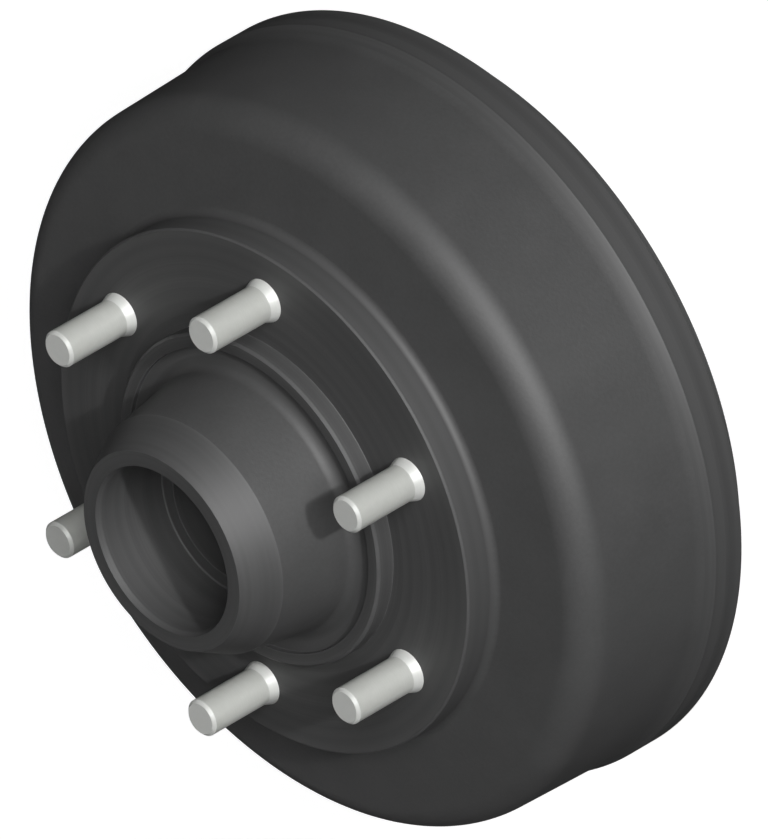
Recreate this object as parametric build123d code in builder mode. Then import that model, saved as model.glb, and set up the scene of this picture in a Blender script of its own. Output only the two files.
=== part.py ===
from build123d import *
import os
from math import acos, cos, degrees, radians, sin, tan

os.makedirs("parts", exist_ok=True)

# Hub drum: a brake drum and its wheel hub cast in one piece, with six pressed wheel studs.
# Frame: the axis is Z, the drum's open end rests on Z = 0 and the hub's nose points up.
# All sizes are in millimetres and degrees.

# Wheel fixing
stud_circle_diameter = 139.7
stud_count = 6
stud_first_angle = 30.0
wheel_seat_height = 85.2

# Open end of the drum: a thin lip and a raised stiffening band
friction_diameter = 228.6
lip_wall = 1.9
lip_length = 6.4
lip_inner_chamfer = 0.6
lip_outer_chamfer = 0.4
band_height = 1.8
band_width = 11.3
band_run_up_radius = 17.3
band_edge_break = 0.35

# Barrel, shoulder and web, as cast on the outside
barrel_wall = 6.9
barrel_draft = 1.95
shoulder_fillet = 11.0
web_slope = 7.2
web_thickness = 8.0

# Cast corner beyond the friction surface
run_out_length = 9.8
run_out_depth = 1.0
run_out_ramp = 1.5
inner_corner_fillet = 5.0

# Wheel flange, measured outwards from the stud circle and back from the wheel seat
flange_margin = 16.15
flange_thickness = 15.2
flange_stand_out = 11.3
flange_edge_chamfer = 0.6
flange_foot_fillet = 2.9
head_seat_margin = 1.65
head_seat_step_run = 4.0
head_seat_step_fillet = 3.0

# Hub barrel and nose, with the nose wall measured from the cap bore
hub_length = 128.2
nose_wall = 5.55
nose_cone_length = 12.0
nose_cone_rise = 6.25
hub_flare = 4.3
hub_foot_fillet = 4.6

# Relief and spigot, measured outwards from the hub's foot
relief_width = 6.8
relief_depth = 1.8
spigot_wall = 4.4
spigot_height = 6.2
spigot_chamfer = 0.8

# Bores from the nose
lead_in_step = 0.6
lead_in_length = 2.0
cap_bore_diameter = 54.6
cap_bore_depth = 27.5
cap_bore_corner_fillet = 0.5
outer_cup_diameter = 45.24
outer_cup_depth = 14.0
outer_land_step = 3.12
bearing_land_length = 3.0

# Rear boss and bores from the rear
rear_boss_height = 28.0
rear_boss_wall = 6.4
rear_boss_draft = 2.0
rear_boss_foot_fillet = 7.0
rear_boss_chamfer = 1.0
seal_bore_step = 2.535
seal_bore_depth = 9.5
seal_lead_in = 0.8
inner_cup_diameter = 59.13
inner_cup_depth = 14.0
inner_land_step = 4.065
core_step = 4.5
core_ramp = 4.0

# Wheel studs
stud_diameter = 12.0
stud_stand_out = 26.4
stud_tip_chamfer = 0.95
collar_step = 1.1
collar_cone_length = 3.0
collar_plain_length = 1.5
rib_depth = 0.3
rib_count = 24
head_step = 2.9
head_thickness = 4.5
head_chamfer = 0.7
press_clearance = 0.02

# Stud places
stud_circle_radius = stud_circle_diameter / 2
stud_radius = stud_diameter / 2
collar_radius = stud_radius + collar_step
head_radius = collar_radius + head_step
stud_hole_radius = collar_radius + press_clearance

# Drum places
friction_radius = friction_diameter / 2
lip_radius = friction_radius + lip_wall
barrel_radius = friction_radius + barrel_wall
band_radius = barrel_radius + band_height
band_front = lip_length + band_width
run_out_radius = friction_radius + run_out_depth

# Flange places
flange_radius = stud_circle_radius + flange_margin
web_front_height = wheel_seat_height - flange_stand_out
head_seat_height = wheel_seat_height - flange_thickness
head_seat_radius = stud_circle_radius + head_radius + head_seat_margin
head_seat_outer_radius = head_seat_radius + head_seat_step_run

# Nose bore places
cap_bore_radius = cap_bore_diameter / 2
cap_bore_floor = hub_length - cap_bore_depth
outer_cup_radius = outer_cup_diameter / 2
outer_cup_floor = cap_bore_floor - outer_cup_depth
outer_land_radius = outer_cup_radius - outer_land_step
outer_land_back = outer_cup_floor - bearing_land_length

# Hub places, worked outwards from the cap bore
nose_radius = cap_bore_radius + nose_wall
cone_foot_radius = nose_radius + nose_cone_rise
cone_foot_height = hub_length - nose_cone_length
hub_foot_radius = cone_foot_radius + hub_flare
relief_radius = hub_foot_radius + relief_width
spigot_radius = relief_radius + spigot_wall
spigot_front = wheel_seat_height + spigot_height
relief_floor = spigot_front - relief_depth

# Rear bore places
inner_cup_radius = inner_cup_diameter / 2
seal_bore_radius = inner_cup_radius + seal_bore_step
seal_bore_floor = rear_boss_height + seal_bore_depth
inner_cup_floor = seal_bore_floor + inner_cup_depth
inner_land_radius = inner_cup_radius - inner_land_step
inner_land_front = inner_cup_floor + bearing_land_length
core_radius = inner_land_radius + core_step
rear_boss_radius = seal_bore_radius + rear_boss_wall


def web_front_at(radius):
    """Height of the coned front of the web, which falls away outside the flange."""
    return web_front_height - (radius - flange_radius) * tan(radians(web_slope))


def web_back_at(radius):
    """Height of the back of the web, one web thickness behind its front."""
    return web_front_at(radius) - web_thickness / cos(radians(web_slope))


# The run-up is an arc that leaves the barrel along its draft and ends at the band's front edge
run_up_angle = degrees(acos(cos(radians(barrel_draft)) - band_height / band_run_up_radius))
run_up_length = band_run_up_radius * (sin(radians(run_up_angle)) - sin(radians(barrel_draft)))
run_up_end = band_front + run_up_length
run_up_middle_angle = radians((run_up_angle + barrel_draft) / 2)
run_up_centre_radius = barrel_radius + band_run_up_radius * cos(radians(barrel_draft))
run_up_centre_height = run_up_end + band_run_up_radius * sin(radians(barrel_draft))
run_up_middle = (
    run_up_centre_radius - band_run_up_radius * cos(run_up_middle_angle),
    run_up_centre_height - band_run_up_radius * sin(run_up_middle_angle),
)

# Where the drafted barrel would meet the coned web, before the shoulder is rounded
shoulder_slope = tan(radians(barrel_draft)) * tan(radians(web_slope))
shoulder_height = (web_front_at(barrel_radius) - run_up_end * shoulder_slope) / (1 - shoulder_slope)
shoulder_radius = barrel_radius - (shoulder_height - run_up_end) * tan(radians(barrel_draft))

# Where the rear boss would meet the flat that the stud heads seat on
rear_boss_length = head_seat_height - rear_boss_height
rear_boss_foot_radius = rear_boss_radius + rear_boss_length * tan(radians(rear_boss_draft))

# The friction surface ends one run-out short of the back of the web
inner_corner_height = web_back_at(run_out_radius)
friction_length = inner_corner_height - run_out_length

# Sharp corners of the section that are rounded or broken after the face is made
lip_inner_edge = (friction_radius, 0)
lip_outer_edge = (lip_radius, 0)
band_back_edge = (band_radius, lip_length)
shoulder = (shoulder_radius, shoulder_height)
flange_foot = (flange_radius, web_front_height)
flange_edge = (flange_radius, wheel_seat_height)
spigot_edge = (spigot_radius, spigot_front)
hub_foot = (hub_foot_radius, relief_floor)
cap_bore_corner = (cap_bore_radius, cap_bore_floor)
rear_boss_edge = (rear_boss_radius, rear_boss_height)
rear_boss_foot = (rear_boss_foot_radius, head_seat_height)
head_seat_edge = (head_seat_radius, head_seat_height)
head_seat_foot = (head_seat_outer_radius, web_back_at(head_seat_outer_radius))
inner_corner = (run_out_radius, inner_corner_height)


def corner(place):
    """The vertex of the section that lies at a radius and a height."""
    target = Vector(place[0], place[1], 0)
    return section.vertices().sort_by(lambda vertex: (Vector(*vertex) - target).length)[0]


# Cast hub and drum: one section turned about the axis, then the stud holes
with BuildPart() as hub_drum:
    with BuildSketch(Plane.XZ) as section:
        with BuildLine():
            Polyline(
                lip_inner_edge,
                lip_outer_edge,
                (lip_radius, lip_length),
                band_back_edge,
                (band_radius, band_front),
            )
            ThreePointArc((band_radius, band_front), run_up_middle, (barrel_radius, run_up_end))
            Polyline(
                (barrel_radius, run_up_end),
                shoulder,
                flange_foot,
                flange_edge,
                (spigot_radius, wheel_seat_height),
                spigot_edge,
                (relief_radius, spigot_front),
                (relief_radius, relief_floor),
                hub_foot,
                (cone_foot_radius, cone_foot_height),
                (nose_radius, hub_length),
                (cap_bore_radius + lead_in_step, hub_length),
                (cap_bore_radius, hub_length - lead_in_length),
                cap_bore_corner,
                (outer_cup_radius, cap_bore_floor),
                (outer_cup_radius, outer_cup_floor),
                (outer_land_radius, outer_cup_floor),
                (outer_land_radius, outer_land_back),
                (core_radius, outer_land_back - core_ramp),
                (core_radius, inner_land_front + core_ramp),
                (inner_land_radius, inner_land_front),
                (inner_land_radius, inner_cup_floor),
                (inner_cup_radius, inner_cup_floor),
                (inner_cup_radius, seal_bore_floor),
                (seal_bore_radius, seal_bore_floor),
                (seal_bore_radius, rear_boss_height + seal_lead_in),
                (seal_bore_radius + seal_lead_in, rear_boss_height),
                rear_boss_edge,
                rear_boss_foot,
                head_seat_edge,
                head_seat_foot,
                inner_corner,
                (run_out_radius, friction_length + run_out_ramp),
                (friction_radius, friction_length),
                lip_inner_edge,
            )
        make_face()
        fillet(corner(shoulder), shoulder_fillet)
        fillet(corner(flange_foot), flange_foot_fillet)
        fillet(corner(hub_foot), hub_foot_fillet)
        fillet(corner(cap_bore_corner), cap_bore_corner_fillet)
        fillet(corner(rear_boss_foot), rear_boss_foot_fillet)
        fillet(corner(head_seat_edge), head_seat_step_fillet)
        fillet(corner(head_seat_foot), head_seat_step_fillet)
        fillet(corner(inner_corner), inner_corner_fillet)
        chamfer(corner(flange_edge), flange_edge_chamfer)
        chamfer(corner(spigot_edge), spigot_chamfer)
        chamfer(corner(rear_boss_edge), rear_boss_chamfer)
        chamfer(corner(lip_inner_edge), lip_inner_chamfer)
        chamfer(corner(lip_outer_edge), lip_outer_chamfer)
        chamfer(corner(band_back_edge), band_edge_break)
    revolve(axis=Axis.Z)
    with Locations(Plane.XY.offset(wheel_seat_height)):
        with PolarLocations(stud_circle_radius, stud_count, start_angle=stud_first_angle):
            Hole(stud_hole_radius, flange_thickness)

hub_drum.part.label = "hub_drum"
export_step(hub_drum.part, "parts/hub_drum.step")


def stud_frame(angle):
    """Upright plane through one stud's axis, with local X outwards and local Y up."""
    outward = Vector(cos(radians(angle)), sin(radians(angle)), 0)
    sideways = Vector(sin(radians(angle)), -cos(radians(angle)), 0)
    return Plane(origin=outward * stud_circle_radius, x_dir=outward, z_dir=sideways)


# Wheel studs: round head, ribbed press length, tapered collar and plain end with a broken tip
stud_tip_height = wheel_seat_height + stud_stand_out
rib_top_height = wheel_seat_height - collar_plain_length
head_foot_height = head_seat_height - head_thickness

for number in range(1, stud_count + 1):
    angle = stud_first_angle + (number - 1) * 360 / stud_count
    upright = stud_frame(angle)
    across = Plane(origin=upright.origin, x_dir=upright.x_dir, z_dir=(0, 0, 1))
    with BuildPart() as wheel_stud:
        with BuildSketch(upright):
            with BuildLine():
                Polyline(
                    (0, head_foot_height),
                    (head_radius - head_chamfer, head_foot_height),
                    (head_radius, head_foot_height + head_chamfer),
                    (head_radius, head_seat_height),
                    (collar_radius, head_seat_height),
                    (collar_radius, wheel_seat_height),
                    (stud_radius, wheel_seat_height + collar_cone_length),
                    (stud_radius, stud_tip_height - stud_tip_chamfer),
                    (stud_radius - stud_tip_chamfer, stud_tip_height),
                    (0, stud_tip_height),
                    close=True,
                )
            make_face()
        revolve(axis=Axis(upright.origin, (0, 0, 1)))
        with BuildSketch(across.offset(head_seat_height)):
            with PolarLocations(collar_radius, rib_count):
                Rectangle(rib_depth * 2**0.5, rib_depth * 2**0.5, rotation=45)
        extrude(amount=rib_top_height - head_seat_height, mode=Mode.SUBTRACT)
    name = f"wheel_stud_{number}"
    wheel_stud.part.label = name
    export_step(wheel_stud.part, f"parts/{name}.step")
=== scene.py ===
"""A brake drum cast in one with its wheel hub, with six pressed wheel studs.

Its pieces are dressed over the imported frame.
"""

import logging
from dataclasses import dataclass
from enum import Enum
from math import acos, atan2, cos, hypot, pi, radians, sin, tan

import bpy
from mathutils import Matrix, Vector


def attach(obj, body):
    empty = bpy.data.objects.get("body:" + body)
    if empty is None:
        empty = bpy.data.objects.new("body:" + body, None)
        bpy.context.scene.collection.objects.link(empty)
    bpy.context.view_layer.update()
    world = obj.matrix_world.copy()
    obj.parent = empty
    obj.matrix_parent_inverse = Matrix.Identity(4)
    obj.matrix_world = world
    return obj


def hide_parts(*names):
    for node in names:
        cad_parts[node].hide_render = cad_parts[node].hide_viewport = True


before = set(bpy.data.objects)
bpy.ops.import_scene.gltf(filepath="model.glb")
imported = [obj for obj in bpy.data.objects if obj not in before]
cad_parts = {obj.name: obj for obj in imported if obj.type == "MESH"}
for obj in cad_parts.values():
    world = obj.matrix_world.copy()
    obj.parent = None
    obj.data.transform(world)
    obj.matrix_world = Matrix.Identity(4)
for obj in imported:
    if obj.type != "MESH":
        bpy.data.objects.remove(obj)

LOG = logging.getLogger("brake_drum")
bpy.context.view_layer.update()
BODY = "root"
AXIS = (0.0, 0.0, 1.0)
WHITE = (1.0, 1.0, 1.0, 1.0)
MIDDLE_TONE = 0.5
# In metres: one millimetre, and how far off each lamp hangs.
MM = 0.001
LAMP_DISTANCE = 3.0
# In millimetres: what is merged in a wire and in a spun piece, and the largest edge that is painted
# lighter, partly as wear and partly as a painted highlight.
WIRE_MERGE = 0.001
SPUN_MERGE = 0.002
SMALL_EDGE = 1.3
# How far from its corner a rubbed edge, painted lighter as wear and as a painted highlight,
# reaches, as a share of its size.
EDGE_REACH = 0.95
# Faces whose middles agree to this many steps in a millimetre get the same marks.
MARKS_PER_MM = 20
# How far off its place a point may lie to count as on it, in millimetres and in pitches.
PLACE_SLACK = 0.01
PITCH_SLACK = 0.05


class Slot(Enum):
    """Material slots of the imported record."""

    CAST_BODY = "cast_body"
    STUD_STEEL = "stud_steel"


class Skin(Enum):
    """How one run of a turned section was made: left as cast or rolled, or turned.

    The value is what the skin attribute holds.
    """

    AS_FORMED = 0.0
    TURNED = 1.0


class Break(Enum):
    """How a sharp corner of a section is broken: left sharp, rounded or chamfered."""

    SHARP = "sharp"
    ROUND = "round"
    CHAMFER = "chamfer"


class LampRays(Enum):
    """What a lamp lights: all of a surface's light, only its matt part or only its sheen."""

    ALL = "all"
    MATT = "matt"
    SHEEN = "sheen"


@dataclass(frozen=True)
class Corner:
    """One corner of a turned section, in millimetres from the axis and from the floor.

    The size is that of its round or chamfer, and steps are the facets that a round gets. The skin
    is that of the run from this corner to the next one.
    """

    radius: float
    height: float
    broken: Break = Break.SHARP
    size: float = 0.0
    steps: int = 1
    skin: Skin = Skin.TURNED

    def is_small_edge(self) -> bool:
        """Whether this is a small broken edge, which is painted lighter: partly wear from handling,
        partly a painted highlight.
        """
        return self.broken is not Break.SHARP and self.size <= SMALL_EDGE


@dataclass
class TurnedSection:
    """A section that is drawn as a wire, broken at its corners and spun about an upright axis."""

    name: str
    corners: list[Corner]
    steps: int
    centre: tuple[float, float] = (0.0, 0.0)
    closed: bool = True

    def spun(self) -> bpy.types.Object:
        """Draws the section, breaks its corners and spins it into a closed solid.

        Returns:
            The new object, at the origin, with its place in its mesh.
        """
        piece = self._first_point()
        self._draw_wire()
        for number, corner in enumerate(self.corners):
            if corner.broken is not Break.SHARP:
                self._break_corner(piece, number)
        edit_all(piece)
        bpy.ops.mesh.spin(steps=self.steps, angle=2 * pi, center=(*self._centre(), 0.0), axis=AXIS)
        bpy.ops.mesh.select_all(action="SELECT")
        bpy.ops.mesh.remove_doubles(threshold=SPUN_MERGE * MM)
        bpy.ops.mesh.normals_make_consistent(inside=False)
        bpy.ops.object.mode_set(mode="OBJECT")
        return piece

    def _centre(self) -> tuple[float, float]:
        """The section's axis in metres."""
        return self.centre[0] * MM, self.centre[1] * MM

    def _place(self, number: int) -> Vector:
        """Where one corner of the section lies, in metres."""
        corner = self.corners[number % len(self.corners)]
        x, y = self._centre()
        return Vector((x + corner.radius * MM, y, corner.height * MM))

    def _first_point(self) -> bpy.types.Object:
        """Starts the wire from a small plane that is merged into its first corner.

        Returns:
            The object, in edit mode with that point selected.
        """
        bpy.ops.object.select_all(action="DESELECT")
        bpy.ops.mesh.primitive_plane_add(size=MM, location=(0.0, 0.0, 0.0))
        piece = bpy.context.object
        piece.name = self.name
        piece.data.name = self.name
        bpy.ops.object.mode_set(mode="EDIT")
        bpy.ops.mesh.select_mode(type="VERT")
        bpy.ops.mesh.merge(type="CENTER")
        bpy.ops.transform.translate(value=self._place(0))
        return piece

    def _draw_wire(self) -> None:
        """Extrudes the point from corner to corner, and back to the first in a closed section."""
        last = len(self.corners) if self.closed else len(self.corners) - 1
        for number in range(1, last + 1):
            step = self._place(number) - self._place(number - 1)
            bpy.ops.mesh.extrude_region_move(TRANSFORM_OT_translate={"value": step})
        if self.closed:
            bpy.ops.mesh.select_all(action="SELECT")
            bpy.ops.mesh.remove_doubles(threshold=WIRE_MERGE * MM)
        bpy.ops.object.mode_set(mode="OBJECT")

    def _break_corner(self, piece: bpy.types.Object, number: int) -> None:
        """Rounds or chamfers one corner of the wire.

        Args:
            piece: The wire.
            number: Which corner of the section is broken.
        """
        corner = self.corners[number]
        place = self._place(number)
        before = (place - self._place(number - 1)).normalized()
        after = (self._place(number + 1) - place).normalized()
        reach = corner.size
        if corner.broken is Break.ROUND:
            reach = corner.size * tan(before.angle(after) / 2)
        nearest = min(piece.data.vertices, key=lambda vertex: (vertex.co - place).length)
        edit_points(piece, {nearest.index})
        bpy.ops.mesh.bevel(
            affect="VERTICES",
            offset_type="OFFSET",
            offset=reach * MM,
            segments=corner.steps,
            profile=0.5,
        )
        bpy.ops.object.mode_set(mode="OBJECT")

    def mark_skins(self, piece: bpy.types.Object) -> None:
        """Writes to every face the skin of its run, and whether it breaks a small edge, which the
        iron paints lighter as wear and as a painted highlight.

        Args:
            piece: The spun piece.
        """
        runs = [
            (self._place(number), self._place(number + 1), corner.skin.value)
            for number, corner in enumerate(self.corners)
        ]
        edges = [
            (self._place(number), corner.size * MM)
            for number, corner in enumerate(self.corners)
            if corner.is_small_edge()
        ]
        x, y = self._centre()
        known: dict[tuple[int, int], tuple[float, float]] = {}
        marks = []
        for face in piece.data.polygons:
            middle = face.center
            spot = Vector((x + hypot(middle.x - x, middle.y - y), y, middle.z))
            key = (round(spot.x / MM * MARKS_PER_MM), round(spot.z / MM * MARKS_PER_MM))
            if key not in known:
                skin = min(runs, key=lambda run: distance_to_run(spot, run[0], run[1]))[2]
                on_edge = any((spot - place).length < EDGE_REACH * size for place, size in edges)
                known[key] = (skin, float(on_edge))
            marks.append(known[key])
        for name, values in (
            ("skin", [mark[0] for mark in marks]),
            ("rubbed_edge_and_highlight", [mark[1] for mark in marks]),
        ):
            layer = piece.data.attributes.new(name, "FLOAT", "FACE")
            layer.data.foreach_set("value", values)


def distance_to_run(spot: Vector, start: Vector, end: Vector) -> float:
    """Distance from a spot to a straight run.

    Args:
        spot: The spot, in metres.
        start: One end of the run.
        end: The other end of the run.

    Returns:
        The distance in metres.
    """
    along = end - start
    share = (spot - start).dot(along) / along.length_squared
    return (spot - start - along * max(0.0, min(1.0, share))).length


def take_up(piece: bpy.types.Object) -> None:
    """Selects one piece alone and makes it active.

    Args:
        piece: The piece, in object mode.
    """
    bpy.ops.object.select_all(action="DESELECT")
    piece.select_set(True)
    bpy.context.view_layer.objects.active = piece


def edit_points(piece: bpy.types.Object, points: set[int]) -> None:
    """Opens one piece in edit mode with only the given points selected.

    Args:
        piece: The piece, in object mode.
        points: Indices of the points to select.
    """
    take_up(piece)
    mesh = piece.data
    mesh.polygons.foreach_set("select", [False] * len(mesh.polygons))
    mesh.edges.foreach_set("select", [False] * len(mesh.edges))
    mesh.vertices.foreach_set("select", [vertex.index in points for vertex in mesh.vertices])
    bpy.ops.object.mode_set(mode="EDIT")
    bpy.ops.mesh.select_mode(type="VERT")


def edit_all(piece: bpy.types.Object) -> None:
    """Opens one piece in edit mode with all of it selected.

    Args:
        piece: The piece, in object mode.
    """
    take_up(piece)
    bpy.ops.object.mode_set(mode="EDIT")
    bpy.ops.mesh.select_mode(type="VERT")
    bpy.ops.mesh.select_all(action="SELECT")


def smooth_turned(piece: bpy.types.Object, crease: float) -> None:
    """Shades a turned piece smooth up to its creases, with flat faces kept flat.

    Args:
        piece: The piece, in object mode.
        crease: Angle in degrees over which an edge stays sharp.
    """
    take_up(piece)
    bpy.ops.object.shade_smooth_by_angle(angle=radians(crease))
    even = piece.modifiers.new("even_shading", "WEIGHTED_NORMAL")
    even.mode = "FACE_AREA"
    even.keep_sharp = True
    bpy.ops.object.modifier_apply(modifier=even.name)


class NodeBench:
    """Adds and joins the nodes of one material or world.

    A mix node has sockets for every type under the same names, so they are found by number.
    """

    def __init__(self, tree: bpy.types.NodeTree) -> None:
        """Empties the tree.

        Args:
            tree: The node tree to work on.
        """
        self.tree = tree
        tree.nodes.clear()

    def add(self, kind: str, **settings: object) -> bpy.types.Node:
        """Adds a node and sets its own options.

        Args:
            kind: Blender's name for the node.
            settings: Options of the node, by name.

        Returns:
            The new node.
        """
        node = self.tree.nodes.new(kind)
        for name, value in settings.items():
            setattr(node, name, value)
        return node

    def feed(self, node: bpy.types.Node, socket: str | int, source: object) -> None:
        """Gives a socket a value, or joins another node's output to it.

        Args:
            node: The node that is fed.
            socket: Name or number of its input.
            source: A number, a colour, or an output socket.
        """
        if isinstance(source, bpy.types.NodeSocket):
            self.tree.links.new(source, node.inputs[socket])
        else:
            node.inputs[socket].default_value = source

    def math(
        self,
        operation: str,
        first: object,
        second: object = 0.0,
        third: object = 0.0,
    ) -> bpy.types.NodeSocket:
        """Works out one number from others.

        Args:
            operation: Blender's name for the sum.
            first: A number or an output socket.
            second: A number or an output socket.
            third: A number or an output socket.

        Returns:
            The output socket.
        """
        node = self.add("ShaderNodeMath", operation=operation)
        for number, source in enumerate((first, second, third)):
            self.feed(node, number, source)
        return node.outputs[0]

    def blend(self, factor: object, low: object, high: object) -> bpy.types.NodeSocket:
        """Blends two numbers.

        Args:
            factor: 0 gives the low one, 1 the high one.
            low: A number or an output socket.
            high: A number or an output socket.

        Returns:
            The output socket.
        """
        node = self.add("ShaderNodeMix", data_type="FLOAT")
        self.feed(node, 0, factor)
        self.feed(node, 2, low)
        self.feed(node, 3, high)
        return node.outputs[0]

    def blend_colour(self, factor: object, low: object, high: object) -> bpy.types.NodeSocket:
        """Blends two colours.

        Args:
            factor: 0 gives the low one, 1 the high one.
            low: A colour or an output socket.
            high: A colour or an output socket.

        Returns:
            The output socket.
        """
        node = self.add("ShaderNodeMix", data_type="RGBA")
        self.feed(node, 0, factor)
        self.feed(node, 6, low)
        self.feed(node, 7, high)
        return node.outputs[2]

    def grain(self, place: object, cell: float, detail: float = 3.0) -> bpy.types.NodeSocket:
        """A soft random pattern over the surface.

        Args:
            place: Output socket with the place, in metres.
            cell: Size of one fleck, in millimetres.
            detail: How many finer layers it has.

        Returns:
            The output socket, around 0.5.
        """
        node = self.add("ShaderNodeTexNoise", noise_dimensions="3D")
        self.feed(node, "Vector", place)
        self.feed(node, "Scale", 1.0 / (cell * MM))
        self.feed(node, "Detail", detail)
        return node.outputs["Fac"]

    def lines(self, along: object, pitch: float, detail: float = 1.0) -> bpy.types.NodeSocket:
        """Random lines across one direction, as a turning tool leaves them.

        Args:
            along: Output socket with the distance across the lines, in metres.
            pitch: Width of one line, in millimetres.
            detail: How many finer layers it has.

        Returns:
            The output socket, around 0.5.
        """
        node = self.add("ShaderNodeTexNoise", noise_dimensions="1D")
        self.feed(node, "W", along)
        self.feed(node, "Scale", 1.0 / (pitch * MM))
        self.feed(node, "Detail", detail)
        return node.outputs["Fac"]

    def mark(self, name: str) -> bpy.types.NodeSocket:
        """One of the marks that a turned section wrote to its faces."""
        return self.add("ShaderNodeAttribute", attribute_name=name).outputs["Fac"]

    def ray_kinds(self) -> tuple[bpy.types.NodeSocket, bpy.types.NodeSocket]:
        """Tells the camera's rays, and those seen in gloss or through glass, from all others.

        Returns:
            Two output sockets: 1 for the camera's rays, and 1 for the mirrored ones.
        """
        path = self.add("ShaderNodeLightPath")
        mirrored = self.math(
            "MAXIMUM",
            path.outputs["Is Glossy Ray"],
            path.outputs["Is Transmission Ray"],
        )
        return path.outputs["Is Camera Ray"], mirrored

    def matt(self, colour: object) -> bpy.types.NodeSocket:
        """A plain matt shader of one colour."""
        node = self.add("ShaderNodeBsdfDiffuse")
        self.feed(node, "Color", colour)
        return node.outputs[0]

    def glow(self, strength: object) -> bpy.types.NodeSocket:
        """A white shader that gives light of one strength."""
        node = self.add("ShaderNodeEmission")
        self.feed(node, "Color", WHITE)
        self.feed(node, "Strength", strength)
        return node.outputs[0]

    def blend_shaders(self, factor: object, low: object, high: object) -> bpy.types.NodeSocket:
        """Blends two shaders.

        Args:
            factor: 0 gives the low one, 1 the high one.
            low: Output socket of a shader.
            high: Output socket of a shader.

        Returns:
            The output socket.
        """
        node = self.add("ShaderNodeMixShader")
        self.feed(node, 0, factor)
        self.feed(node, 1, low)
        self.feed(node, 2, high)
        return node.outputs[0]

    def dress(self, colour: object, roughness: object, height: object, metallic: float) -> None:
        """Joins colour, roughness and relief into the material's surface.

        Args:
            colour: Output socket of the colour.
            roughness: Output socket of the roughness.
            height: Output socket of the relief, in metres.
            metallic: How much of a bare metal it is, from 0 to 1.
        """
        bump = self.add("ShaderNodeBump")
        self.feed(bump, "Strength", 1.0)
        self.feed(bump, "Distance", 1.0)
        self.feed(bump, "Height", height)
        shader = self.add("ShaderNodeBsdfPrincipled")
        self.feed(shader, "Base Color", colour)
        self.feed(shader, "Roughness", roughness)
        self.feed(shader, "Normal", bump.outputs[0])
        self.feed(shader, "Metallic", metallic)
        self.out(shader.outputs[0])

    def out(self, surface: object) -> None:
        """Makes one shader the material's surface."""
        node = self.add("ShaderNodeOutputMaterial")
        self.feed(node, "Surface", surface)


@dataclass(frozen=True)
class DarkIron:
    """Dark satin iron: a fine sand-cast grain where it was cast, fine rings where it was turned."""

    name: str = "dark_satin_iron"
    dark: tuple[float, float, float, float] = (0.046, 0.046, 0.0465, 1.0)
    light: tuple[float, float, float, float] = (0.082, 0.082, 0.0825, 1.0)
    cast_roughness: float = 0.60
    turned_roughness: float = 0.60
    roughness_spread: float = 0.08
    grain_size: float = 1.2
    cloud_size: float = 14.0
    cloud_detail: float = 2.0
    ring_pitch: float = 0.55
    ring_band: float = 4.0
    grain_depth: float = 0.05
    ring_depth: float = 0.008
    # The rubbed tone is lighter than the iron: partly wear on the small broken edges, partly a
    # painted highlight along them.
    rub_highlight_tone: tuple[float, float, float, float] = (0.088, 0.088, 0.089, 1.0)
    rubbed_gloss: float = 0.06
    rub_highlight_size: float = 7.0
    rub_highlight_contrast: float = 1.2
    rub_highlight_least: float = 0.1
    grain_share: float = 0.55
    ring_share: float = 0.35

    def made(self) -> bpy.types.Material:
        """Builds the material.

        Returns:
            The new material.
        """
        material = bpy.data.materials.new(self.name)
        material.use_nodes = True
        bench = NodeBench(material.node_tree)
        place = bench.add("ShaderNodeTexCoord").outputs["Object"]
        turned = bench.mark("skin")
        split = bench.add("ShaderNodeSeparateXYZ")
        bench.feed(split, 0, place)
        squares = bench.math("MULTIPLY", split.outputs[0], split.outputs[0])
        squares = bench.math("MULTIPLY_ADD", split.outputs[1], split.outputs[1], squares)
        radius = bench.math("SQRT", squares)
        across = bench.math("ADD", radius, split.outputs[2])

        grain = bench.grain(place, self.grain_size)
        clouds = bench.grain(place, self.cloud_size, self.cloud_detail)
        rings = bench.lines(across, self.ring_pitch)
        bands = bench.lines(across, self.ring_band)
        cast_tone = bench.blend(self.grain_share, clouds, grain)
        turned_tone = bench.blend(self.ring_share, bands, rings)
        tone = bench.blend(turned, cast_tone, turned_tone)
        colour = bench.blend_colour(tone, self.dark, self.light)

        # Small broken edges are painted lighter in patches: partly wear, partly a painted highlight
        # along the chamfers.
        rub_highlight_patches = bench.grain(place, self.rub_highlight_size)
        rub_highlight_patches = bench.math("MULTIPLY_ADD", rub_highlight_patches, self.rub_highlight_contrast, self.rub_highlight_least)
        rub_and_highlight = bench.math("MULTIPLY", bench.mark("rubbed_edge_and_highlight"), rub_highlight_patches)
        colour = bench.blend_colour(rub_and_highlight, colour, self.rub_highlight_tone)

        spread = bench.math("SUBTRACT", tone, MIDDLE_TONE)
        mean = bench.blend(turned, self.cast_roughness, self.turned_roughness)
        mean = bench.math("MULTIPLY_ADD", rub_and_highlight, -self.rubbed_gloss, mean)
        roughness = bench.math("MULTIPLY_ADD", spread, self.roughness_spread, mean)

        grain_height = bench.math("MULTIPLY", grain, self.grain_depth * MM)
        ring_height = bench.math("MULTIPLY", rings, self.ring_depth * MM)
        bench.dress(colour, roughness, bench.blend(turned, grain_height, ring_height), 0.0)
        return material


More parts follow.
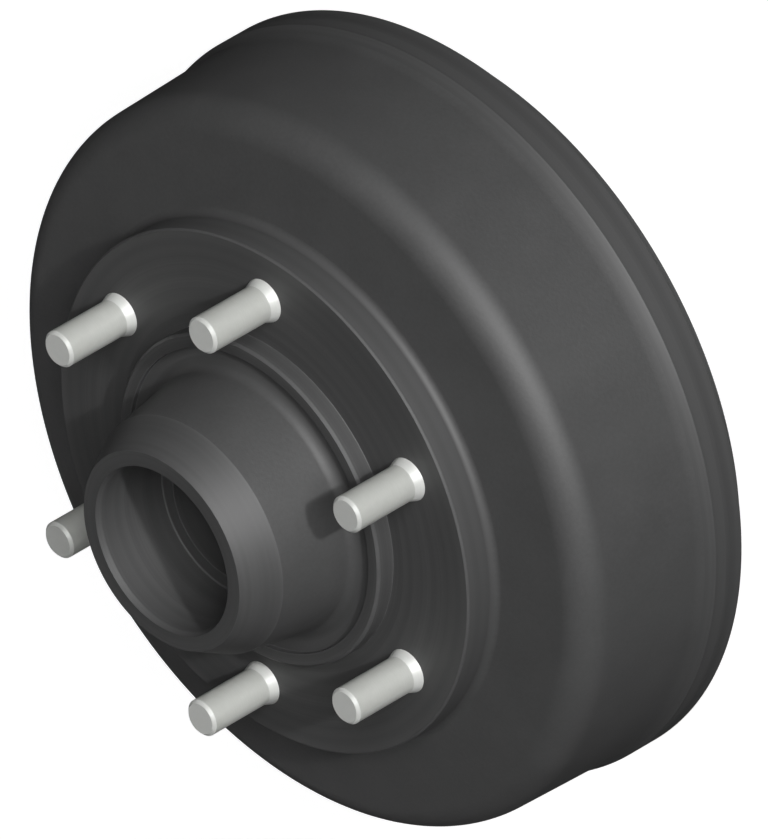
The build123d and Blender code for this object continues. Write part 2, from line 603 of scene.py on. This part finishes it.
@dataclass(frozen=True)
class PlatedSteel:
    """Pale satin plated steel with faint rings round each stud, painted brighter on its turned
    faces as painted light and highlight.
    """

    name: str = "pale_plated_steel"
    dark: tuple[float, float, float, float] = (0.53, 0.54, 0.51, 1.0)
    light: tuple[float, float, float, float] = (0.62, 0.63, 0.60, 1.0)
    # The turned copy is brighter: painted light and highlight on the collar, its cone, the tip
    # chamfer and the end face.
    turned_highlight_dark: tuple[float, float, float, float] = (0.67, 0.68, 0.655, 1.0)
    turned_highlight_light: tuple[float, float, float, float] = (0.75, 0.76, 0.735, 1.0)
    metallic: float = 0.12
    roughness: float = 0.5
    turned_roughness: float = 0.42
    roughness_spread: float = 0.10
    mottle_size: float = 2.2
    ring_share: float = 0.4
    ring_pitch: float = 0.35
    ring_depth: float = 0.004

    def made(self) -> bpy.types.Material:
        """Builds the material.

        Returns:
            The new material.
        """
        material = bpy.data.materials.new(self.name)
        material.use_nodes = True
        bench = NodeBench(material.node_tree)
        place = bench.add("ShaderNodeTexCoord").outputs["Object"]
        split = bench.add("ShaderNodeSeparateXYZ")
        bench.feed(split, 0, place)
        mottle = bench.grain(place, self.mottle_size)
        rings = bench.lines(split.outputs[2], self.ring_pitch)
        tone = bench.blend(self.ring_share, mottle, rings)
        turned = bench.mark("skin")
        # The turned copy of the colour is brighter, as painted light and highlight on the cone, tip
        # chamfer and end face.
        rolled_colour = bench.blend_colour(tone, self.dark, self.light)
        turned_highlight_colour = bench.blend_colour(tone, self.turned_highlight_dark, self.turned_highlight_light)
        colour = bench.blend_colour(turned, rolled_colour, turned_highlight_colour)
        spread = bench.math("SUBTRACT", tone, MIDDLE_TONE)
        mean = bench.blend(turned, self.roughness, self.turned_roughness)
        roughness = bench.math("MULTIPLY_ADD", spread, self.roughness_spread, mean)
        height = bench.math("MULTIPLY", rings, self.ring_depth * MM)
        bench.dress(colour, roughness, height, self.metallic)
        return material


@dataclass
class HubDrum:
    """The casting: drum, band, lip, web, wheel flange, spigot, hub barrel and stepped bores.

    Lengths are in millimetres and angles in degrees. The run-up to the band is broken a little
    short of its full radius, by run_up_share, so that its arc doesn't reach the next corner.
    """

    stud_circle_diameter: float = 139.7
    stud_count: int = 6
    stud_first_angle: float = 30.0
    wheel_seat_height: float = 85.2
    friction_diameter: float = 228.6
    lip_wall: float = 1.9
    lip_length: float = 6.4
    lip_inner_chamfer: float = 0.6
    lip_outer_chamfer: float = 0.4
    lip_foot_fillet: float = 0.3
    band_height: float = 1.8
    band_width: float = 11.3
    band_run_up_radius: float = 17.3
    run_up_share: float = 0.999
    band_edge_break: float = 0.35
    barrel_wall: float = 6.9
    barrel_draft: float = 1.95
    shoulder_fillet: float = 11.0
    web_slope: float = 7.2
    web_thickness: float = 8.0
    run_out_length: float = 9.8
    run_out_depth: float = 1.0
    run_out_ramp: float = 1.5
    inner_corner_fillet: float = 5.0
    flange_margin: float = 16.15
    flange_thickness: float = 15.2
    flange_stand_out: float = 11.3
    flange_edge_chamfer: float = 0.6
    flange_foot_fillet: float = 2.9
    head_seat_margin: float = 1.65
    head_seat_step_run: float = 4.0
    head_seat_step_fillet: float = 3.0
    hub_length: float = 128.2
    nose_wall: float = 5.55
    nose_cone_length: float = 12.0
    nose_cone_rise: float = 6.25
    nose_cone_round: float = 1.2
    hub_flare: float = 4.3
    hub_foot_fillet: float = 4.6
    relief_width: float = 6.8
    relief_depth: float = 1.8
    spigot_wall: float = 4.4
    spigot_height: float = 6.2
    spigot_chamfer: float = 0.8
    lead_in_step: float = 0.6
    lead_in_length: float = 2.0
    cap_bore_diameter: float = 54.6
    cap_bore_depth: float = 27.5
    cap_bore_corner_fillet: float = 0.5
    outer_cup_diameter: float = 45.24
    outer_cup_depth: float = 14.0
    outer_land_step: float = 3.12
    bearing_land_length: float = 3.0
    rear_boss_height: float = 28.0
    rear_boss_wall: float = 6.4
    rear_boss_draft: float = 2.0
    rear_boss_foot_fillet: float = 7.0
    rear_boss_chamfer: float = 1.0
    seal_bore_step: float = 2.535
    seal_bore_depth: float = 9.5
    seal_lead_in: float = 0.8
    inner_cup_diameter: float = 59.13
    inner_cup_depth: float = 14.0
    inner_land_step: float = 4.065
    core_step: float = 4.5
    core_ramp: float = 4.0
    core_fillet: float = 2.0
    head_radius: float = 10.0
    stud_hole_radius: float = 7.12
    hole_sides: int = 96
    drill_overrun: float = 1.0
    small_break: float = 0.18
    turns: int = 288
    crease: float = 14.0

    @property
    def flange_radius(self) -> float:
        """Radius of the wheel flange."""
        return self.stud_circle_diameter / 2 + self.flange_margin

    @property
    def seal_radius(self) -> float:
        """Radius of the seal bore."""
        return self.inner_cup_diameter / 2 + self.seal_bore_step

    def _web_front_at(self, radius: float) -> float:
        """Height of the coned front of the web at a radius."""
        foot = self.wheel_seat_height - self.flange_stand_out
        return foot - (radius - self.flange_radius) * tan(radians(self.web_slope))

    def _web_back_at(self, radius: float) -> float:
        """Height of the back of the web at a radius."""
        return self._web_front_at(radius) - self.web_thickness / cos(radians(self.web_slope))

    def _open_end(self) -> list[Corner]:
        """Corners of the lip, the band and the run-up to the barrel, up to the shoulder.

        Returns:
            The corners in order, from the lip's inner edge.
        """
        friction = self.friction_diameter / 2
        lip = friction + self.lip_wall
        barrel = friction + self.barrel_wall
        band = barrel + self.band_height
        band_front = self.lip_length + self.band_width
        draft = radians(self.barrel_draft)
        start = acos(cos(draft) - self.band_height / self.band_run_up_radius)
        run_up_end = band_front + self.band_run_up_radius * (sin(start) - sin(draft))
        reach = self.band_run_up_radius * tan((start - draft) / 2)
        slope = tan(draft) * tan(radians(self.web_slope))
        shoulder = (self._web_front_at(barrel) - run_up_end * slope) / (1 - slope)
        return [
            Corner(friction, 0.0, Break.CHAMFER, self.lip_inner_chamfer),
            Corner(lip, 0.0, Break.CHAMFER, self.lip_outer_chamfer),
            Corner(lip, self.lip_length, Break.ROUND, self.lip_foot_fillet, 3),
            Corner(band, self.lip_length, Break.CHAMFER, self.band_edge_break),
            Corner(band, band_front),
            Corner(
                barrel + reach * sin(draft),
                run_up_end - reach * cos(draft),
                Break.ROUND,
                self.band_run_up_radius * self.run_up_share,
                10,
                Skin.AS_FORMED,
            ),
            Corner(
                barrel - (shoulder - run_up_end) * tan(draft),
                shoulder,
                Break.ROUND,
                self.shoulder_fillet,
                16,
                Skin.AS_FORMED,
            ),
        ]

    def _flange_and_spigot(self) -> list[Corner]:
        """Corners of the wheel flange, the spigot and the relief inside it.

        Returns:
            The corners in order, from the flange's foot.
        """
        flange = self.flange_radius
        seat = self.wheel_seat_height
        front = seat + self.spigot_height
        foot = self.cap_bore_diameter / 2 + self.nose_wall + self.nose_cone_rise + self.hub_flare
        relief = foot + self.relief_width
        spigot = relief + self.spigot_wall
        tiny = (Break.ROUND, self.small_break, 2)
        return [
            Corner(flange, seat - self.flange_stand_out, Break.ROUND, self.flange_foot_fillet, 8),
            Corner(flange, seat, Break.CHAMFER, self.flange_edge_chamfer),
            Corner(spigot, seat, *tiny),
            Corner(spigot, front, Break.CHAMFER, self.spigot_chamfer),
            Corner(relief, front, *tiny),
            Corner(relief, front - self.relief_depth, *tiny),
            Corner(
                foot,
                front - self.relief_depth,
                Break.ROUND,
                self.hub_foot_fillet,
                10,
                Skin.AS_FORMED,
            ),
        ]

    def _nose_and_bores(self) -> list[Corner]:
        """Corners of the nose and of the stepped bores, down to the rear boss.

        Returns:
            The corners in order.
        """
        cap = self.cap_bore_diameter / 2
        nose = cap + self.nose_wall
        length = self.hub_length
        cap_floor = length - self.cap_bore_depth
        cup = self.outer_cup_diameter / 2
        cup_floor = cap_floor - self.outer_cup_depth
        land = cup - self.outer_land_step
        land_back = cup_floor - self.bearing_land_length
        inner_cup = self.inner_cup_diameter / 2
        seal = self.seal_radius
        boss = self.rear_boss_height
        seal_floor = boss + self.seal_bore_depth
        inner_floor = seal_floor + self.inner_cup_depth
        inner_land = inner_cup - self.inner_land_step
        inner_front = inner_floor + self.bearing_land_length
        core = inner_land + self.core_step
        cored = (Break.ROUND, self.core_fillet, 4, Skin.AS_FORMED)
        tiny = (Break.ROUND, self.small_break, 2)
        return [
            Corner(
                nose + self.nose_cone_rise,
                length - self.nose_cone_length,
                Break.ROUND,
                self.nose_cone_round,
                2,
            ),
            Corner(nose, length, *tiny),
            Corner(cap + self.lead_in_step, length),
            Corner(cap, length - self.lead_in_length),
            Corner(cap, cap_floor, Break.ROUND, self.cap_bore_corner_fillet, 3),
            Corner(cup, cap_floor, *tiny),
            Corner(cup, cup_floor),
            Corner(land, cup_floor),
            Corner(land, land_back, skin=Skin.AS_FORMED),
            Corner(core, land_back - self.core_ramp, *cored),
            Corner(core, inner_front + self.core_ramp, *cored),
            Corner(inner_land, inner_front),
            Corner(inner_land, inner_floor),
            Corner(inner_cup, inner_floor),
            Corner(inner_cup, seal_floor),
            Corner(seal, seal_floor),
            Corner(seal, boss + self.seal_lead_in),
            Corner(seal + self.seal_lead_in, boss),
            Corner(
                seal + self.rear_boss_wall,
                boss,
                Break.CHAMFER,
                self.rear_boss_chamfer,
                skin=Skin.AS_FORMED,
            ),
        ]

    def _inside(self) -> list[Corner]:
        """Corners behind the web, from the rear boss's foot to the friction surface.

        Returns:
            The corners in order.
        """
        seat = self.wheel_seat_height - self.flange_thickness
        boss = self.seal_radius + self.rear_boss_wall
        boss_foot = boss + (seat - self.rear_boss_height) * tan(radians(self.rear_boss_draft))
        head_seat = self.stud_circle_diameter / 2 + self.head_radius + self.head_seat_margin
        step = head_seat + self.head_seat_step_run
        friction = self.friction_diameter / 2
        run_out = friction + self.run_out_depth
        corner_height = self._web_back_at(run_out)
        friction_length = corner_height - self.run_out_length
        fillet = self.head_seat_step_fillet
        return [
            Corner(boss_foot, seat, Break.ROUND, self.rear_boss_foot_fillet, 8),
            Corner(head_seat, seat, Break.ROUND, fillet, 5, Skin.AS_FORMED),
            Corner(step, self._web_back_at(step), Break.ROUND, fillet, 5, Skin.AS_FORMED),
            Corner(
                run_out,
                corner_height,
                Break.ROUND,
                self.inner_corner_fillet,
                8,
                Skin.AS_FORMED,
            ),
            Corner(run_out, friction_length + self.run_out_ramp),
            Corner(friction, friction_length),
        ]

    def build(self) -> bpy.types.Object:
        """Spins the casting, drills it for the studs and dresses it.

        Returns:
            The finished piece.
        """
        section = TurnedSection(
            "turned_hub_drum",
            self._open_end() + self._flange_and_spigot() + self._nose_and_bores() + self._inside(),
            self.turns,
        )
        piece = section.spun()
        self._drill(piece)
        section.mark_skins(piece)
        smooth_turned(piece, self.crease)
        piece.data.materials.clear()
        piece.data.materials.append(DarkIron().made())
        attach(piece, BODY)
        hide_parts("hub_drum")
        return piece

    def _drill(self, piece: bpy.types.Object) -> None:
        """Drills the stud holes with one cylinder each, and merges the tiny edges that this leaves.

        Args:
            piece: The spun casting.
        """
        circle = self.stud_circle_diameter / 2 * MM
        middle = (self.wheel_seat_height - self.flange_thickness / 2) * MM
        for number in range(self.stud_count):
            angle = radians(self.stud_first_angle + number * 360 / self.stud_count)
            bpy.ops.object.select_all(action="DESELECT")
            bpy.ops.mesh.primitive_cylinder_add(
                vertices=self.hole_sides,
                radius=self.stud_hole_radius * MM,
                depth=(self.flange_thickness + 2 * self.drill_overrun) * MM,
                location=(circle * cos(angle), circle * sin(angle), middle),
            )
            drill = bpy.context.object
            cut = piece.modifiers.new("stud_hole", "BOOLEAN")
            cut.operation = "DIFFERENCE"
            cut.solver = "EXACT"
            cut.object = drill
            take_up(piece)
            bpy.ops.object.modifier_apply(modifier=cut.name)
            bpy.data.objects.remove(drill, do_unlink=True)
        edit_all(piece)
        bpy.ops.mesh.remove_doubles(threshold=SPUN_MERGE * MM)
        bpy.ops.object.mode_set(mode="OBJECT")


@dataclass
class WheelStuds:
    """The pressed wheel studs: round head, ribbed length, tapered collar and plain end."""

    drum: HubDrum
    stud_diameter: float = 12.0
    stud_stand_out: float = 26.4
    stud_tip_chamfer: float = 0.95
    collar_step: float = 1.1
    collar_cone_length: float = 3.0
    collar_plain_length: float = 1.5
    rib_depth: float = 0.3
    rib_count: int = 24
    head_thickness: float = 4.5
    head_chamfer: float = 0.7
    edge_round: float = 0.1
    crease: float = 12.0
    steps_per_rib: int = 4

    def build(self) -> list[bpy.types.Object]:
        """Makes the first stud, copies it round the circle and dresses all of them.

        Returns:
            The finished studs, in order.
        """
        first = self._first_stud()
        finish = PlatedSteel().made()
        studs = []
        for number in range(self.drum.stud_count):
            turn = number * 2 * pi / self.drum.stud_count + radians(self.drum.stud_first_angle)
            stud = first.copy()
            stud.data = first.data.copy()
            stud.name = f"pressed_wheel_stud_{number + 1}"
            stud.data.name = stud.name
            bpy.context.scene.collection.objects.link(stud)
            stud.data.transform(Matrix.Rotation(turn, 4, "Z"))
            stud.data.materials.clear()
            stud.data.materials.append(finish)
            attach(stud, BODY)
            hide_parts(f"wheel_stud_{number + 1}")
            studs.append(stud)
        bpy.data.objects.remove(first, do_unlink=True)
        return studs

    def _first_stud(self) -> bpy.types.Object:
        """Spins one stud on the X axis of the stud circle and cuts its ribs.

        Returns:
            The stud, as a pattern for the others.
        """
        seat = self.drum.wheel_seat_height
        head_seat = seat - self.drum.flange_thickness
        head_foot = head_seat - self.head_thickness
        tip = seat + self.stud_stand_out
        shank = self.stud_diameter / 2
        collar = shank + self.collar_step
        head = self.drum.head_radius
        rib_top = seat - self.collar_plain_length
        soft = (Break.ROUND, self.edge_round, 2)
        rolled = Skin.AS_FORMED
        # The runs left turned, the collar, its cone, the tip chamfer and the end, take the steel's
        # brighter copy, which is painted light and highlight.
        section = TurnedSection(
            "stud_pattern",
            [
                Corner(0.0, head_foot, skin=rolled),
                Corner(head - self.head_chamfer, head_foot, *soft, rolled),
                Corner(head, head_foot + self.head_chamfer, *soft, rolled),
                Corner(head, head_seat, *soft, rolled),
                Corner(collar, head_seat, skin=rolled),
                Corner(collar, rib_top - self.rib_depth, skin=rolled),
                Corner(collar, rib_top),
                Corner(collar, seat, *soft),
                Corner(shank, seat + self.collar_cone_length, skin=rolled),
                Corner(shank, tip - self.stud_tip_chamfer, *soft),
                Corner(shank - self.stud_tip_chamfer, tip, *soft),
                Corner(0.0, tip),
            ],
            self.rib_count * self.steps_per_rib,
            (self.drum.stud_circle_diameter / 2, 0.0),
            closed=False,
        )
        stud = section.spun()
        self._cut_ribs(stud, collar, head_seat, rib_top - self.rib_depth)
        section.mark_skins(stud)
        smooth_turned(stud, self.crease)
        return stud

    def _cut_ribs(self, stud: bpy.types.Object, collar: float, bottom: float, top: float) -> None:
        """Sinks every rib's groove by drawing its column of points towards the stud's axis.

        Args:
            stud: The spun stud.
            collar: Radius of the ribbed length, in millimetres.
            bottom: Where the grooves start.
            top: Where the grooves end.
        """
        axis = self.drum.stud_circle_diameter / 2 * MM
        pitch = 2 * pi / self.rib_count
        chosen = set()
        for vertex in stud.data.vertices:
            x, y, z = vertex.co
            pitches = atan2(y, x - axis) / pitch
            on_column = abs(pitches - round(pitches)) < PITCH_SLACK
            on_collar = abs(hypot(x - axis, y) - collar * MM) < PLACE_SLACK * MM
            between = (bottom - PLACE_SLACK) * MM < z < (top + PLACE_SLACK) * MM
            if on_column and on_collar and between:
                chosen.add(vertex.index)
        edit_points(stud, chosen)
        share = 1 - self.rib_depth / collar
        bpy.ops.transform.resize(value=(share, share, 1.0), center_override=(axis, 0.0, 0.0))
        bpy.ops.object.mode_set(mode="OBJECT")


@dataclass(frozen=True)
class Lamp:
    """One far, soft lamp, with the rays that it may light."""

    name: str
    from_side: tuple[float, float, float]
    strength: float
    width: float
    lights: LampRays = LampRays.ALL

    def hang(self) -> None:
        """Adds the lamp to the scene."""
        lamp = bpy.data.lights.new(self.name, "SUN")
        lamp.energy = self.strength
        lamp.angle = radians(self.width)
        holder = bpy.data.objects.new(self.name, lamp)
        bpy.context.scene.collection.objects.link(holder)
        towards = Vector(self.from_side).normalized()
        holder.rotation_euler = towards.to_track_quat("Z", "Y").to_euler()
        holder.location = towards * LAMP_DISTANCE
        holder.visible_glossy = self.lights is not LampRays.MATT
        holder.visible_diffuse = self.lights is not LampRays.SHEEN


@dataclass
class Studio:
    """A plain pale floor, a key lamp with sheen lamps round it, broad fills and one lamp behind."""

    floor_size: float = 12.0
    floor_drop: float = 0.02
    floor_glow: float = 0.91
    ambient: float = 0.012
    seen_in_metal: float = 0.03
    floor_tone: tuple[float, float, float, float] = (0.16, 0.16, 0.16, 1.0)
    shadow_tone: tuple[float, float, float, float] = (0.32, 0.32, 0.32, 1.0)
    lamps: tuple[Lamp, ...] = (
        Lamp("key_lamp", (0.74, 0.60, 0.30), 1.5, 2.6),
        Lamp("key_sheen_lamp", (0.74, 0.60, 0.30), 0.7, 12.0, LampRays.SHEEN),
        Lamp("upper_sheen_lamp", (0.408, 0.816, 0.408), 1.7, 14.0, LampRays.SHEEN),
        Lamp("lower_sheen_lamp", (0.816, 0.408, 0.408), 1.4, 14.0, LampRays.SHEEN),
        Lamp("high_sheen_lamp", (0.409, 0.409, 0.817), 0.6, 20.0, LampRays.SHEEN),
        Lamp("fill_lamp", (0.577, 0.577, 0.577), 1.85, 30.0, LampRays.MATT),
        Lamp("back_lamp", (-0.707, -0.707, 0.05), 1.5, 20.0, LampRays.MATT),
        Lamp("left_side_lamp", (-0.70, 0.70, 0.08), 0.15, 40.0, LampRays.MATT),
        Lamp("right_side_lamp", (0.70, -0.70, 0.08), 0.15, 40.0, LampRays.MATT),
    )

    def build(self) -> None:
        """Sets the world, the floor and the lamps."""
        self._world()
        self._floor()
        for lamp in self.lamps:
            lamp.hang()

    def _world(self) -> None:
        """A background that is white to the camera, dim in reflections and dim as a light."""
        world = bpy.data.worlds.new("studio")
        bpy.context.scene.world = world
        world.use_nodes = True
        bench = NodeBench(world.node_tree)
        camera, mirrored = bench.ray_kinds()
        unseen = bench.blend(mirrored, self.ambient, self.seen_in_metal)
        sky = bench.add("ShaderNodeBackground")
        bench.feed(sky, "Color", WHITE)
        bench.feed(sky, "Strength", bench.blend(camera, unseen, 1.0))
        out = bench.add("ShaderNodeOutputWorld")
        bench.feed(out, "Surface", sky.outputs[0])

    def _floor(self) -> None:
        """A plain floor that is white to the camera and keeps a faint shadow."""
        bpy.ops.object.select_all(action="DESELECT")
        bpy.ops.mesh.primitive_plane_add(
            size=self.floor_size,
            location=(0.0, 0.0, -self.floor_drop * MM),
        )
        floor = bpy.context.object
        floor.name = "studio_floor"
        material = bpy.data.materials.new("pale_floor")
        material.use_nodes = True
        bench = NodeBench(material.node_tree)
        camera, mirrored = bench.ray_kinds()
        reflected = bench.blend_shaders(
            mirrored,
            bench.matt(self.floor_tone),
            bench.glow(self.seen_in_metal),
        )
        white = bench.add("ShaderNodeAddShader")
        bench.feed(white, 0, bench.matt(self.shadow_tone))
        bench.feed(white, 1, bench.glow(self.floor_glow))
        bench.out(bench.blend_shaders(camera, reflected, white.outputs[0]))
        floor.data.materials.append(material)


@dataclass
class PhotoCamera:
    """A camera far off along the photograph's direction, so that the view is all but parallel.

    Its place, aim and lens are in millimetres, and the limits of what it sees in metres. Place
    and aim share out the little perspective that is left.
    """

    place: tuple[float, float, float] = (6006.41, 6016.16, 6147.00)
    aim: tuple[float, float, float] = (-11.308, -10.135, 22.383)
    level: tuple[float, float, float] = (0.7110, 0.0046, -0.7032)
    lens: float = 1500.0
    sensor: float = 36.0
    nearest_seen: float = 1.0
    furthest_seen: float = 40.0

    def build(self) -> None:
        """Makes the camera and gives it to the scene."""
        place = Vector(self.place)
        back = (place - Vector(self.aim)).normalized()
        upward = back.cross(Vector(self.level)).normalized()
        right = upward.cross(back)
        data = bpy.data.cameras.new("photo_camera")
        data.lens = self.lens
        data.sensor_width = self.sensor
        data.clip_start = self.nearest_seen
        data.clip_end = self.furthest_seen
        camera = bpy.data.objects.new("photo_camera", data)
        bpy.context.scene.collection.objects.link(camera)
        turn = Matrix((right, upward, back)).transposed()
        camera.matrix_world = Matrix.Translation(place * MM) @ turn.to_4x4()
        bpy.context.scene.camera = camera


def report(piece: bpy.types.Object) -> None:
    """Logs one finished piece with its size and its count of faces.

    Args:
        piece: The finished piece.
    """
    size = [round(length / MM, 1) for length in piece.dimensions]
    LOG.info("%s: %s mm, %d faces", piece.name, size, len(piece.data.polygons))


def main() -> None:
    """Builds the drum, its studs, the studio and the camera, and reports each piece."""
    logging.basicConfig(level=logging.INFO, format="%(message)s")
    bpy.context.scene.view_settings.view_transform = "Standard"
    drum = HubDrum()
    report(drum.build())
    for stud in WheelStuds(drum).build():
        report(stud)
    Studio().build()
    PhotoCamera().build()


if __name__ == "__main__":
    main()
